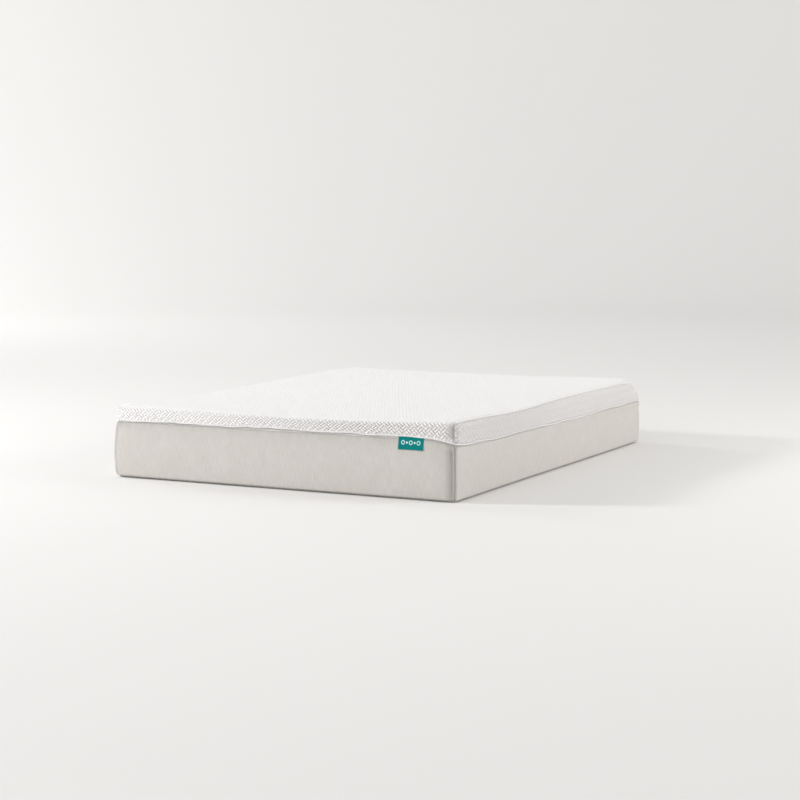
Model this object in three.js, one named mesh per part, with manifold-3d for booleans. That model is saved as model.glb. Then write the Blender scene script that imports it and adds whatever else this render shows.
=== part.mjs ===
// Queen-size memory foam mattress: a foam core in a knitted sock, under a zip-off top cover
// that is joined to a lower cover. Millimetres. X is the width, +Y points to the head end,
// +Z is up, and the face that lies on the bed is at z = 0.
import * as THREE from 'three';
import { RoundedBoxGeometry } from 'three/addons/geometries/RoundedBoxGeometry.js';
import { mergeVertices } from 'three/addons/utils/BufferGeometryUtils.js';
import Module from 'manifold-3d';

const wasm = await Module();
wasm.setup();

// ---------------------------------------------------------------- driving dimensions

const WIDTH = 1524;
const LENGTH = 2032;
const HEIGHT = 305;
const GAP = 0.3; // clearance between pieces that touch on the real mattress
const SEAM_GAP = 0.4; // measured along the sharp edge, it leaves about GAP between two panels

// Insets are measured inwards from the WIDTH x LENGTH outline, which the hem lip touches.
const UPPER_INSET = 1.5;
const UPPER_THICK = 4.7;
const UPPER_RADIUS = 20;
const LOWER_INSET = 3;
const LOWER_THICK = 2.2;
const LOWER_RADIUS = 18;

const SOCK_INSET = 7.6;
const SOCK_THICK = 1.2;
const SOCK_RADIUS = 13.9;
const SOCK_BOTTOM = LOWER_THICK + 0.7;
const SOCK_TOP = HEIGHT - UPPER_THICK - GAP;
const SOCK_MOUTH_WIDTH = 1340;
const SOCK_MOUTH_HEIGHT = 8;

const COMFORT_THICK = 64; // gel memory foam
const TRANSITION_THICK = 51; // softer polyurethane foam

// The hem is the lower edge of the top cover. It sits higher on the foot end.
const HEM_FOOT = 233;
const HEM_SIDE = 200;
const HEM_CORNER_RIGHT = 214;
const HEM_CORNER_LEFT = 228;
const HEM_FOOT_RUN = 130; // the foot hem drops towards a corner over this length
const HEM_SIDE_RUN = 400; // and it goes on dropping along the side over this one
const LIP_HEIGHT = 8;
const LIP_DEPTH = 5.2;

// Zip: its parts are placed down from the hem and inwards from the outline.
const TAPE_INSET = 5.5;
const TAPE_THICK = 0.6;
const COIL_RADIUS = 0.75;
const COIL_INSET = 4.45;
const COIL_DROP_UPPER = 2;
const COIL_DROP_LOWER = 4.8;
const CHAIN_DROP = (COIL_DROP_UPPER + COIL_DROP_LOWER) / 2;
const LOWER_EDGE_DROP = 7.2; // from the hem to the top edge of the lower cover
const ZIP_CLOSED_X = 575; // the chain ends here, and it starts again at ZIP_START_X
const ZIP_START_X = 590;
const STOP_LENGTH = 2.2;
const STOP_HEIGHT = 4.8;

const SLIDER_LENGTH = 9;
const SLIDER_HEIGHT = 6;
const SLIDER_PLATE = 0.8;
const SLIDER_POST = 0.8;
const SLIDER_FRONT_INSET = 2.6;
const SLIDER_BACK_INSET = 6.4;
const CROWN_LENGTH = 5.2;
const CROWN_HEIGHT = 1.6;
const CROWN_BAR = 0.65;
const CROWN_ROOM = 1.7; // between the front plate and the crown's bar
const PULL_LENGTH = 22;
const PULL_HEIGHT = 5;
const PULL_THICK = 1;
const PULL_EYE_LENGTH = 3.2;
const PULL_EYE_HEIGHT = 2.4;
const PULL_BAR = 1.1;

const BRAND_LABEL = { width: 104, height: 44, thick: 0.8, x: 576 };
const LAW_LABEL = { width: 60, height: 88, thick: 0.5, x: -420, bottom: 24 };
const CARE_LABEL = { width: 42, height: 64, thick: 0.5, x: -340, bottom: 24 };

// ---------------------------------------------------------------- materials

const CLOTH = {
  topKnit: { color: 0xf4f2ef, roughness: 0.92 },
  lip: { color: 0xf6f4f1, roughness: 0.9 },
  lowerKnit: { color: 0xd2cfc8, roughness: 0.95 },
  base: { color: 0xbdbab4, roughness: 0.95 },
  sock: { color: 0xeceae4, roughness: 0.95 },
  comfort: { color: 0xdfe9ee, roughness: 0.9 },
  transition: { color: 0xf3f1ea, roughness: 0.9 },
  support: { color: 0xe4e2da, roughness: 0.9 },
  tape: { color: 0xf0eeea, roughness: 0.9 },
  coil: { color: 0xf0efec, roughness: 0.5 },
  slider: { color: 0xe9e9e7, roughness: 0.35, metalness: 0.2 },
  brand: { color: 0x0a7d78, roughness: 0.8 },
  paper: { color: 0xf7f7f5, roughness: 0.85 },
};

const mattress = new THREE.Group();

function addPiece(name, geometry, look, position = [0, 0, 0]) {
  const material = new THREE.MeshStandardMaterial({ metalness: 0, ...look });
  const mesh = new THREE.Mesh(geometry, material);
  mesh.name = name;
  mesh.position.set(...position);
  mattress.add(mesh);
}

// ---------------------------------------------------------------- geometry helpers

function signedVolume(positions, index) {
  const [a, b, c] = [new THREE.Vector3(), new THREE.Vector3(), new THREE.Vector3()];
  let volume = 0;
  for (let i = 0; i < index.length; i += 3) {
    a.fromArray(positions, 3 * index[i]);
    b.fromArray(positions, 3 * index[i + 1]);
    c.fromArray(positions, 3 * index[i + 2]);
    volume += a.dot(b.cross(c)) / 6;
  }
  return volume;
}

// A closed body from its points and faces, turned so that the faces look outwards.
function closedBody(positions, index) {
  if (signedVolume(positions, index) < 0) {
    index.reverse();
  }
  const geometry = new THREE.BufferGeometry();
  geometry.setAttribute('position', new THREE.Float32BufferAttribute(positions, 3));
  geometry.setIndex(index);
  geometry.computeVertexNormals();
  return geometry;
}

function toManifold(geometry) {
  const bare = geometry.clone();
  bare.deleteAttribute('normal');
  bare.deleteAttribute('uv');
  const merged = mergeVertices(bare);
  const mesh = new wasm.Mesh({
    numProp: 3,
    vertProperties: new Float32Array(merged.attributes.position.array),
    triVerts: new Uint32Array(merged.index.array),
  });
  return new wasm.Manifold(mesh);
}

function fromManifold(solid) {
  const mesh = solid.getMesh();
  return closedBody(Array.from(mesh.vertProperties), Array.from(mesh.triVerts));
}

function boxAt(size, centre) {
  const geometry = new THREE.BoxGeometry(...size);
  geometry.translate(...centre);
  return toManifold(geometry);
}

function roundedBox(inset, bottom, top, radius) {
  const size = [WIDTH - 2 * inset, LENGTH - 2 * inset, top - bottom];
  const geometry = new RoundedBoxGeometry(...size, 3, radius);
  geometry.translate(0, 0, (bottom + top) / 2);
  return toManifold(geometry);
}

// A box with rounded edges and one open side, given by the core that its radius rounds off.
function softBox(inset, radius, coreBottom, coreTop) {
  const x = WIDTH / 2 - inset - radius;
  const y = LENGTH / 2 - inset - radius;
  return {
    halfX: WIDTH / 2 - inset,
    halfY: LENGTH / 2 - inset,
    radius,
    min: new THREE.Vector3(-x, -y, coreBottom),
    max: new THREE.Vector3(x, y, coreTop),
  };
}

const UPPER = softBox(UPPER_INSET, UPPER_RADIUS, -HEIGHT, HEIGHT - UPPER_RADIUS);
const LOWER = softBox(LOWER_INSET, LOWER_RADIUS, LOWER_RADIUS, 2 * HEIGHT);

// Takes a point on the face of the sharp box to the rounded one.
function soften(box, x, y, z) {
  const sharp = new THREE.Vector3(x, y, z);
  const core = sharp.clone().clamp(box.min, box.max);
  const normal = sharp.sub(core).normalize();
  return { at: core.addScaledVector(normal, box.radius), normal };
}

// Places along an edge of the sharp box: closer together in the roundings and near the corners.
function stations(half, radius) {
  const fromEnd = [SEAM_GAP, 0.586 * radius, radius, 50, 90, 140, 220, 320, 430];
  const low = fromEnd.map((d) => -half + d);
  const high = fromEnd.map((d) => half - d).reverse();
  return [...low, ...high];
}

// A cloth of even thickness over a grid of surface points.
function thickSheet(columns, rows, surface, thickness) {
  const positions = [];
  const index = [];
  for (const depth of [0, thickness]) {
    for (const column of columns) {
      for (const row of rows) {
        const { at, normal } = surface(column, row);
        positions.push(...at.addScaledVector(normal, -depth).toArray());
      }
    }
  }
  const side = columns.length * rows.length;
  const point = (i, j, layer) => layer * side + i * rows.length + j;
  const quad = (a, b, c, d) => index.push(a, b, c, a, c, d);
  for (let i = 0; i + 1 < columns.length; i += 1) {
    for (let j = 0; j + 1 < rows.length; j += 1) {
      quad(point(i, j, 0), point(i + 1, j, 0), point(i + 1, j + 1, 0), point(i, j + 1, 0));
      quad(point(i, j, 1), point(i, j + 1, 1), point(i + 1, j + 1, 1), point(i + 1, j, 1));
    }
  }
  const lastRow = rows.length - 1;
  for (let i = 0; i + 1 < columns.length; i += 1) {
    quad(point(i, 0, 0), point(i, 0, 1), point(i + 1, 0, 1), point(i + 1, 0, 0));
    quad(point(i, lastRow, 0), point(i + 1, lastRow, 0), point(i + 1, lastRow, 1), point(i, lastRow, 1));
  }
  const lastColumn = columns.length - 1;
  for (let j = 0; j < lastRow; j += 1) {
    quad(point(0, j, 0), point(0, j + 1, 0), point(0, j + 1, 1), point(0, j, 1));
    quad(point(lastColumn, j, 0), point(lastColumn, j, 1), point(lastColumn, j + 1, 1),
      point(lastColumn, j + 1, 0));
  }
  return closedBody(positions, index);
}

// ---------------------------------------------------------------- hem

function easeOut(t) {
  const left = 1 - Math.min(1, Math.max(0, t));
  return 1 - left * left;
}

function hemHeight(x, y) {
  const corner = x > 0 ? HEM_CORNER_RIGHT : HEM_CORNER_LEFT;
  const fromFoot = y + LENGTH / 2;
  const fromSide = WIDTH / 2 - Math.abs(x);
  if (fromFoot < fromSide && y < 0) {
    return corner + (HEM_FOOT - corner) * easeOut(fromSide / HEM_FOOT_RUN);
  }
  return corner + (HEM_SIDE - corner) * easeOut(fromFoot / HEM_SIDE_RUN);
}

// The outline of the upper cover at hem height, from (startX, head end) once around clockwise.
function hemPath(startX, endX) {
  const alongX = stations(UPPER.halfX, UPPER_RADIUS);
  const alongY = stations(UPPER.halfY, UPPER_RADIUS);
  const corners = [
    ...alongX.filter((x) => x > startX).map((x) => [x, UPPER.halfY]),
    ...alongY.toReversed().map((y) => [UPPER.halfX, y]),
    ...alongX.toReversed().map((x) => [x, -UPPER.halfY]),
    ...alongY.map((y) => [-UPPER.halfX, y]),
    ...alongX.filter((x) => x < endX).map((x) => [x, UPPER.halfY]),
  ];
  if (Number.isFinite(endX)) {
    corners.unshift([startX, UPPER.halfY]);
    corners.push([endX, UPPER.halfY]);
  }
  return corners.map(([x, y]) => {
    const { at, normal } = soften(UPPER, x, y, 0);
    at.z = hemHeight(x, y);
    return { at, normal };
  });
}

// Sweeps a section of [inset, drop] pairs along a path; each drop is measured down from the hem.
function sweepAlongHem(path, section, closed) {
  const positions = [];
  const index = [];
  for (const { at, normal } of path) {
    for (const [inset, drop] of section) {
      const point = at.clone().addScaledVector(normal, UPPER_INSET - inset);
      positions.push(point.x, point.y, point.z - drop);
    }
  }
  const count = section.length;
  const spans = closed ? path.length : path.length - 1;
  for (let i = 0; i < spans; i += 1) {
    const here = i * count;
    const next = ((i + 1) % path.length) * count;
    for (let k = 0; k < count; k += 1) {
      const m = (k + 1) % count;
      index.push(here + k, next + k, next + m, here + k, next + m, here + m);
    }
  }
  if (!closed) {
    const outline = section.map(([inset, drop]) => new THREE.Vector2(inset, drop));
    const last = (path.length - 1) * count;
    for (const [a, b, c] of THREE.ShapeUtils.triangulateShape(outline, [])) {
      const flip = THREE.ShapeUtils.isClockWise(outline);
      const cap = flip ? [a, c, b] : [a, b, c];
      const [p, q, r] = cap;
      index.push(p, q, r, last + p, last + r, last + q);
    }
  }
  return closedBody(positions, index);
}

// ---------------------------------------------------------------- foam core and sock

function buildCore() {
  const inset = SOCK_INSET + SOCK_THICK + GAP;
  const bottom = SOCK_BOTTOM + SOCK_THICK + GAP;
  const top = SOCK_TOP - SOCK_THICK - GAP;
  const block = roundedBox(inset, bottom, top, SOCK_RADIUS - SOCK_THICK - GAP);
  const slice = (low, high) => {
    const slab = boxAt([WIDTH, LENGTH, high - low], [0, 0, (low + high) / 2]);
    return fromManifold(block.intersect(slab));
  };
  const comfortBottom = top - COMFORT_THICK;
  const transitionBottom = comfortBottom - GAP - TRANSITION_THICK;
  addPiece('foam_comfort_layer', slice(comfortBottom, top + 1), CLOTH.comfort);
  addPiece('foam_transition_layer', slice(transitionBottom, comfortBottom - GAP), CLOTH.transition);
  addPiece('foam_support_base', slice(bottom - 1, transitionBottom - GAP), CLOTH.support);
}

function buildSock() {
  const outer = roundedBox(SOCK_INSET, SOCK_BOTTOM, SOCK_TOP, SOCK_RADIUS);
  const inner = roundedBox(SOCK_INSET + SOCK_THICK, SOCK_BOTTOM + SOCK_THICK, SOCK_TOP - SOCK_THICK,
    SOCK_RADIUS - SOCK_THICK);
  const mouth = boxAt([SOCK_MOUTH_WIDTH, 20, SOCK_MOUTH_HEIGHT], [0, LENGTH / 2 - SOCK_INSET, HEIGHT / 2]);
  addPiece('fire_sock', fromManifold(outer.subtract(inner).subtract(mouth)), CLOTH.sock);
}

// ---------------------------------------------------------------- top cover

// The top panel runs down over both ends; the long sides are closed by a band of their own.
function buildTopPanel() {
  const across = stations(UPPER.halfX, UPPER_RADIUS);
  const edge = HEIGHT - UPPER_RADIUS;
  const drop = [[0, 0], [0, 0.5], [0, 1], [0.414 * UPPER_RADIUS, 1]];
  const along = stations(UPPER.halfY, UPPER_RADIUS).filter((y) => Math.abs(y) > 400);
  along[0] = -UPPER.halfY;
  along[along.length - 1] = UPPER.halfY;
  const rows = [
    ...drop.map(([rise, share]) => ({ end: -1, rise, share })),
    ...along.map((y) => ({ end: 0, y })),
    ...drop.toReversed().map(([rise, share]) => ({ end: 1, rise, share })),
  ];
  const surface = (x, row) => {
    if (row.end === 0) {
      return soften(UPPER, x, row.y, HEIGHT);
    }
    const y = row.end * UPPER.halfY;
    const low = hemHeight(x, y) + LIP_HEIGHT + GAP;
    return soften(UPPER, x, y, low + row.share * (edge - low) + row.rise);
  };
  addPiece('top_panel', thickSheet(across, rows, surface, UPPER_THICK), CLOTH.topKnit);
}

function buildSideBand(name, side) {
  const rises = [UPPER_RADIUS, 0.586 * UPPER_RADIUS, SEAM_GAP].map((d) => HEIGHT - d);
  const rows = [-1, -0.5, ...rises];
  const surface = (y, row) => {
    const low = hemHeight(side * UPPER.halfX, y) + LIP_HEIGHT + GAP;
    const z = row > 0 ? row : rises[0] + row * (rises[0] - low);
    return soften(UPPER, side * UPPER.halfX, y, z);
  };
  const along = stations(UPPER.halfY, UPPER_RADIUS);
  addPiece(name, thickSheet(along, rows, surface, UPPER_THICK), CLOTH.topKnit);
}

function buildHemLip() {
  const bevel = 1.4;
  const section = [
    [bevel, 0], [0, -bevel], [0, bevel - LIP_HEIGHT], [bevel, -LIP_HEIGHT],
    [LIP_DEPTH - bevel, -LIP_HEIGHT], [LIP_DEPTH, bevel - LIP_HEIGHT], [LIP_DEPTH, -bevel],
    [LIP_DEPTH - bevel, 0],
  ];
  const ring = hemPath(-Infinity, -Infinity);
  addPiece('hem_lip', sweepAlongHem(ring, section, true), CLOTH.lip);
}

// ---------------------------------------------------------------- lower cover

function buildLowerPanel(name, surfaceAt, half) {
  const roundings = [SEAM_GAP, 0.586 * LOWER_RADIUS, LOWER_RADIUS];
  const rows = [...roundings, -0.5, -1];
  const surface = (along, row) => {
    const [x, y] = surfaceAt(along);
    const top = hemHeight(x, y) - LOWER_EDGE_DROP;
    const z = row > 0 ? row : LOWER_RADIUS - row * (top - LOWER_RADIUS);
    return soften(LOWER, x, y, z);
  };
  const columns = stations(half, LOWER_RADIUS);
  addPiece(name, thickSheet(columns, rows, surface, LOWER_THICK), CLOTH.lowerKnit);
}

function buildBottomPanel() {
  const ends = (half) => stations(half, LOWER_RADIUS).filter((d) => half - Math.abs(d) <= LOWER_RADIUS + 1);
  const surface = (x, y) => soften(LOWER, x, y, 0);
  const sheet = thickSheet(ends(LOWER.halfX), ends(LOWER.halfY), surface, LOWER_THICK);
  addPiece('bottom_panel', sheet, CLOTH.base);
}

// ---------------------------------------------------------------- zip

const HEAD_Y = LENGTH / 2;
const CHAIN_Z = HEM_SIDE - CHAIN_DROP;

function buildChain() {
  const tape = (top, bottom) => [
    [TAPE_INSET, top], [TAPE_INSET, bottom],
    [TAPE_INSET + TAPE_THICK, bottom], [TAPE_INSET + TAPE_THICK, top],
  ];
  const coil = (drop) => {
    const turn = (k) => [
      COIL_INSET + COIL_RADIUS * Math.cos(k * Math.PI / 3),
      drop + COIL_RADIUS * Math.sin(k * Math.PI / 3),
    ];
    return [0, 1, 2, 3, 4, 5].map(turn);
  };
  const tapePath = hemPath(ZIP_START_X - 6, ZIP_CLOSED_X + 6);
  const coilPath = hemPath(ZIP_START_X, ZIP_CLOSED_X);
  addPiece('zip_tape_upper', sweepAlongHem(tapePath, tape(-7, 2.6), false), CLOTH.tape);
  addPiece('zip_tape_lower', sweepAlongHem(tapePath, tape(4.2, 16), false), CLOTH.tape);
  addPiece('zip_coil_upper', sweepAlongHem(coilPath, coil(COIL_DROP_UPPER), false), CLOTH.coil);
  addPiece('zip_coil_lower', sweepAlongHem(coilPath, coil(COIL_DROP_LOWER), false), CLOTH.coil);
}

function buildStops() {
  const size = [STOP_LENGTH, 2 * COIL_RADIUS, STOP_HEIGHT];
  const half = STOP_LENGTH / 2 + GAP;
  const y = HEAD_Y - COIL_INSET;
  addPiece('zip_end_stop', new THREE.BoxGeometry(...size), CLOTH.slider, [ZIP_CLOSED_X + half, y, CHAIN_Z]);
  addPiece('zip_start_stop', new THREE.BoxGeometry(...size), CLOTH.slider, [ZIP_START_X - half, y, CHAIN_Z]);
}

const SLIDER_X = ZIP_CLOSED_X - GAP - SLIDER_LENGTH / 2;

function sliderPlate(inset) {
  const nose = 0.62;
  const outline = new THREE.Shape([
    new THREE.Vector2(-SLIDER_LENGTH / 2, -SLIDER_HEIGHT / 2 * nose),
    new THREE.Vector2(SLIDER_LENGTH * 0.1, -SLIDER_HEIGHT / 2),
    new THREE.Vector2(SLIDER_LENGTH / 2, -SLIDER_HEIGHT / 2),
    new THREE.Vector2(SLIDER_LENGTH / 2, SLIDER_HEIGHT / 2),
    new THREE.Vector2(SLIDER_LENGTH * 0.1, SLIDER_HEIGHT / 2),
    new THREE.Vector2(-SLIDER_LENGTH / 2, SLIDER_HEIGHT / 2 * nose),
  ]);
  const plate = new THREE.ExtrudeGeometry(outline, { depth: SLIDER_PLATE, bevelEnabled: false });
  plate.rotateX(Math.PI / 2);
  plate.translate(0, -inset, 0);
  return toManifold(plate);
}

// The slider's own origin is on the outline of the mattress, in the middle of the chain.
function buildSlider() {
  const postDepth = SLIDER_BACK_INSET + SLIDER_PLATE - SLIDER_FRONT_INSET;
  const barInset = SLIDER_FRONT_INSET - CROWN_ROOM - CROWN_BAR / 2;
  const footDepth = CROWN_ROOM + CROWN_BAR + SLIDER_PLATE / 2;
  const footInset = SLIDER_FRONT_INSET - CROWN_ROOM - CROWN_BAR + footDepth / 2;
  const footX = CROWN_LENGTH / 2 - CROWN_BAR / 2;
  const pieces = [
    sliderPlate(SLIDER_BACK_INSET),
    boxAt([3, postDepth, SLIDER_POST], [1.5, -SLIDER_FRONT_INSET - postDepth / 2, 0]),
    boxAt([CROWN_LENGTH, CROWN_BAR, CROWN_HEIGHT], [0, -barInset, 0]),
    boxAt([CROWN_BAR, footDepth, CROWN_HEIGHT], [-footX, -footInset, 0]),
    boxAt([CROWN_BAR, footDepth, CROWN_HEIGHT], [footX, -footInset, 0]),
  ];
  const whole = pieces.reduce((sum, piece) => sum.add(piece), sliderPlate(SLIDER_FRONT_INSET));
  addPiece('zip_slider', fromManifold(whole), CLOTH.slider, [SLIDER_X, HEAD_Y, CHAIN_Z]);
}

// The pull turns about its end bar, which passes under the slider's crown.
function buildPull() {
  const half = PULL_HEIGHT / 2;
  const start = PULL_BAR / 2;
  const tip = start - PULL_LENGTH;
  const outline = new THREE.Shape();
  outline.moveTo(start, -half);
  outline.lineTo(start, half);
  outline.lineTo(tip + half, half);
  outline.absarc(tip + half, 0, half, Math.PI / 2, 1.5 * Math.PI, false);
  const eyeEnd = start - PULL_BAR;
  const eye = new THREE.Path();
  eye.moveTo(eyeEnd, -PULL_EYE_HEIGHT / 2);
  eye.lineTo(eyeEnd, PULL_EYE_HEIGHT / 2);
  eye.lineTo(eyeEnd - PULL_EYE_LENGTH, PULL_EYE_HEIGHT / 2);
  eye.lineTo(eyeEnd - PULL_EYE_LENGTH, -PULL_EYE_HEIGHT / 2);
  outline.holes.push(eye);
  const plate = new THREE.ExtrudeGeometry(outline, {
    depth: PULL_THICK, bevelEnabled: false, curveSegments: 8,
  });
  plate.rotateX(Math.PI / 2);
  plate.translate(0, PULL_THICK / 2, 0);
  const y = HEAD_Y - SLIDER_FRONT_INSET + CROWN_ROOM / 2;
  addPiece('zip_pull', fromManifold(toManifold(plate)), CLOTH.slider, [SLIDER_X, y, CHAIN_Z]);
}

// ---------------------------------------------------------------- labels

function buildLabel(name, label, look, end, top) {
  const geometry = new THREE.BoxGeometry(label.width, label.thick, label.height);
  const y = end * (LENGTH / 2 - LOWER_INSET + GAP + label.thick / 2);
  addPiece(name, geometry, look, [label.x, y, top - label.height / 2]);
}

// ---------------------------------------------------------------- assembly

buildCore();
buildSock();
buildTopPanel();
buildSideBand('side_band_left', -1);
buildSideBand('side_band_right', 1);
buildHemLip();
buildLowerPanel('lower_panel_foot', (x) => [x, -LOWER.halfY], LOWER.halfX);
buildLowerPanel('lower_panel_head', (x) => [x, LOWER.halfY], LOWER.halfX);
buildLowerPanel('lower_panel_left', (y) => [-LOWER.halfX, y], LOWER.halfY);
buildLowerPanel('lower_panel_right', (y) => [LOWER.halfX, y], LOWER.halfY);
buildBottomPanel();
buildChain();
buildStops();
buildSlider();
buildPull();
buildLabel('brand_label', BRAND_LABEL, CLOTH.brand, -1, HEM_FOOT - GAP);
buildLabel('law_label', LAW_LABEL, CLOTH.paper, 1, LAW_LABEL.bottom + LAW_LABEL.height);
buildLabel('care_label', CARE_LABEL, CLOTH.paper, 1, CARE_LABEL.bottom + CARE_LABEL.height);

export default mattress;
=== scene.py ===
# Looks of the queen memory foam mattress: its covers, hem, seams, zip, labels and foam, shaped in
# mesh code around the part's own frame. Metres. X is the width, +Y points to the head end, +Z is up.
import math

import bmesh
import bpy
import numpy as np
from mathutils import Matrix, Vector


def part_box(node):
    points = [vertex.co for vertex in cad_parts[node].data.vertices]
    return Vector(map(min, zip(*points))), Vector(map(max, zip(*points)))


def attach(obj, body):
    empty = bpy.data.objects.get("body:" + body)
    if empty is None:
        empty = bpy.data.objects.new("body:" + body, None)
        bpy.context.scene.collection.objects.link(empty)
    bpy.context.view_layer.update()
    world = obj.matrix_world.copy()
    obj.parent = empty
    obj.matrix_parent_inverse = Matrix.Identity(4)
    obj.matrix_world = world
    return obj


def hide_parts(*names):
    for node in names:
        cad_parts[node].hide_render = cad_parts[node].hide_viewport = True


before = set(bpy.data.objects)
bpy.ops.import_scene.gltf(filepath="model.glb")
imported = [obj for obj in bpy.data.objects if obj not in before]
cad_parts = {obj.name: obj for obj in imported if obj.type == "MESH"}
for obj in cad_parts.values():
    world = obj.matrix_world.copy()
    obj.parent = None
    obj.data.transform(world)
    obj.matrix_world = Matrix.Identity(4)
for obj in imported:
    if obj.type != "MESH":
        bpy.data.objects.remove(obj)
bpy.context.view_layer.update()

# ---- dimensions, from the frame

HALF_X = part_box("hem_lip")[1].x
HALF_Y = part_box("hem_lip")[1].y
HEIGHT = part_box("top_panel")[1].z
UPPER_X = HALF_X - 0.0015
UPPER_Y = HALF_Y - 0.0015
LOWER_X = HALF_X - 0.003
LOWER_Y = HALF_Y - 0.003

# Heights of the hem's lower edge: across the foot, along the sides and at the foot corners, and
# the lengths over which it comes away from a corner.
HEM_FOOT = 0.233
HEM_SIDE = 0.200
HEM_CORNER_RIGHT = 0.214
HEM_CORNER_LEFT = 0.228
HEM_FOOT_RUN = 0.130
HEM_SIDE_RUN = 0.400
HEM_WAVE = 0.0022  # height of the hem's seeded waviness
HEM_RISE = 0.003
HEM_RISE_PLACES = ((0.10, 0.35), (0.62, 0.08))  # place and width of each rise along the foot
HEM_SAG = 0.004  # the hem hangs lower in the middle of the right side
HEM_LEVEL_FROM = 0.70  # from here the hem grows level towards the head end
HEM_LEVEL_RUN = 0.20
EDGE_ZONE = 0.06  # a point this close to the outline belongs to that side
LIP_HEIGHT = 0.0056
LIP_OVERLAP = 0.0008  # the top cover's cloth goes on this far behind the lip
LOWER_EDGE_DROP = 0.0072

UPPER_RADIUS = 0.020
LOWER_RADIUS = 0.018
# The top of the cover is rounder at some corners: extra rounding by side and end.
CORNER_SOFTNESS = {(1, -1): 0.004, (-1, -1): 0.016, (-1, 1): 0.050, (1, 1): 0.072}
CORNER_REACH = 0.15
ROUNDING_FROM = 0.195  # height where the extra rounding starts
ROUNDING_RISE = 0.075

# The body leans out a little to the right at the head end, and the lower cover bulges.
LEAN_RIGHT = 0.016
LEAN_FROM = -0.75
LEAN_RUN = 1.6
OVERHANG_RIGHT = 0.006
OVERHANG_FROM = 0.160
OVERHANG_RISE = 0.03
BULGE_LEFT = 0.009
BULGE_RIGHT = 0.005
BULGE_END = 0.007
BULGE_SKEW = 0.75  # puts the widest place below the middle
BULGE_FULLNESS = 0.7

# Depths of the hollows in the top: everywhere, in the middle, at the left, at the foot, at the
# foot's edge and between the sides.
DIP_BASE = 0.0015
DIP_MIDDLE = 0.013
DIP_LEFT = 0.010
DIP_FOOT = 0.007
DIP_LIP = 0.006
DIP_DISH = 0.010

BASKET_PERIODS = 48  # diagonal basket weave cells across the width
BASKET_STEPS = 8  # mesh steps in one period
BASKET_RELIEF = 0.0022
BASKET_LEVEL = 0.6  # the share of the relief that lies at the cloth's smooth surface
STRIP_ROUND = 0.8  # powers that fill out a strip's cross-section and its arch
ARCH_ROUND = 0.7
ARCH_SHARE = 0.65
HOLLOW_PLACE_UPPER = 0.0130  # distance of the corner hollows from the outline
HOLLOW_PLACE_LOWER = 0.0175
HOLLOW_SIDE_DEPTH = 0.0015
HOLLOW_OUTER_SHARE = 0.42  # width towards the outline, as a share of the hollow's distance from it
HEAD_CLEARANCE = 0.0022  # the cloth lies lower under the zip's path at the head end
ZIP_ZONE = 0.012
CREASE_PLACE = 0.026  # the sharper crease beside the lower hollow
CREASE_DEPTH = 0.0026
CREASE_WIDTH = 0.0028
FOLD_DEPTH = 0.0021  # slanting folds in the right side band
FOLD_PITCH = 0.024
FOLD_SLANT = 0.75
FOLD_REACH = 0.075
GATHER_DEPTH = 0.0007  # small gathers under the hem
GATHER_PITCH = 0.037
HOLLOW_SHADE_UPPER = 34  # painted shade for a metre of depth in the hollows, where little light gets in
HOLLOW_SHADE_LOWER = 12
TOP_SHADE = 0.055  # painted shade: how much darker the top is coloured than the foot wall
TOP_CALM = 0.60  # how much flatter the weave lies on the top than on the walls
SIDE_SHADE = 0.935  # painted shade: the side bands are coloured darker than the foot wall, least at the head end
SIDE_SHADE_GAIN = 0.05
SEAM_LIGHT_AND_SHADE = 0.12  # painted highlight on the near corner's seam and painted shade on the side band beside it

LABEL_TUCK = 0.0035  # the label's sewn edge goes on up behind the hem
LABEL_GRID = (300, 130)  # columns and rows
BRAND_CURL = 0.0022
CARE_CURL = 0.003
MARK_HEIGHT = 0.0004
MOTIF_RING = (0.0078, 0.0046)  # outer and inner radius
MOTIF_DOT = 0.0040
MOTIF_SOFT = 0.0006  # width of a mark's edge
RULE_PITCH = 0.0052
RULE_MARGIN = 0.008
RULE_TOP = 0.009
RULE_BOTTOM = 0.010


def ease_out(t):
    left = 1 - np.clip(t, 0, 1)
    return 1 - left * left


def smooth(t):
    t = np.clip(t, 0, 1)
    return t * t * (3 - 2 * t)


def bell(distance, width):
    return np.exp(-(distance / width) ** 2)


def wave(x, y, seed, scale, octaves=3):
    """Smooth seeded waviness between about -1 and 1, from a few slanted sines."""
    local = np.random.default_rng(seed)
    total = np.zeros(np.broadcast(x, y).shape)
    weight = 0
    for octave in range(octaves):
        for _ in range(5):
            turn = local.uniform(0, 2 * math.pi)
            phase = local.uniform(0, 2 * math.pi)
            pitch = scale / 2 ** octave * local.uniform(0.75, 1.3)
            run = (x * math.cos(turn) + y * math.sin(turn)) / pitch
            total = total + np.sin(2 * math.pi * run + phase) / 2 ** octave
        weight += 2.2 / 2 ** octave
    return total / weight


def hem_height(x, y):
    """Height of the hem's lower edge at a place on the outline."""
    corner = np.where(x > 0, HEM_CORNER_RIGHT, HEM_CORNER_LEFT)
    from_foot = y + HALF_Y
    from_side = HALF_X - np.abs(x)
    on_foot = corner + (HEM_FOOT - corner) * ease_out(from_side / HEM_FOOT_RUN)
    on_side = corner + (HEM_SIDE - corner) * ease_out(from_foot / HEM_SIDE_RUN)
    return np.where((from_foot < from_side) & (y < 0), on_foot, on_side)


def hem_wobble(x, y):
    """Small rise and fall of the hem, none along the head end where the zip's slider runs."""
    calm = 1 - smooth((y - HEM_LEVEL_FROM) / HEM_LEVEL_RUN)
    rises = sum(HEM_RISE * bell(x - place, width) for place, width in HEM_RISE_PLACES)
    on_foot = (y < EDGE_ZONE - HALF_Y) * rises
    on_right = (x > HALF_X - EDGE_ZONE) * HEM_SAG * bell(y - 0.10, 0.33)
    return (HEM_WAVE * wave(x * 1.3, y, 24, 0.26, 2) + on_foot - on_right) * calm


# ---- rounded box surface

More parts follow.
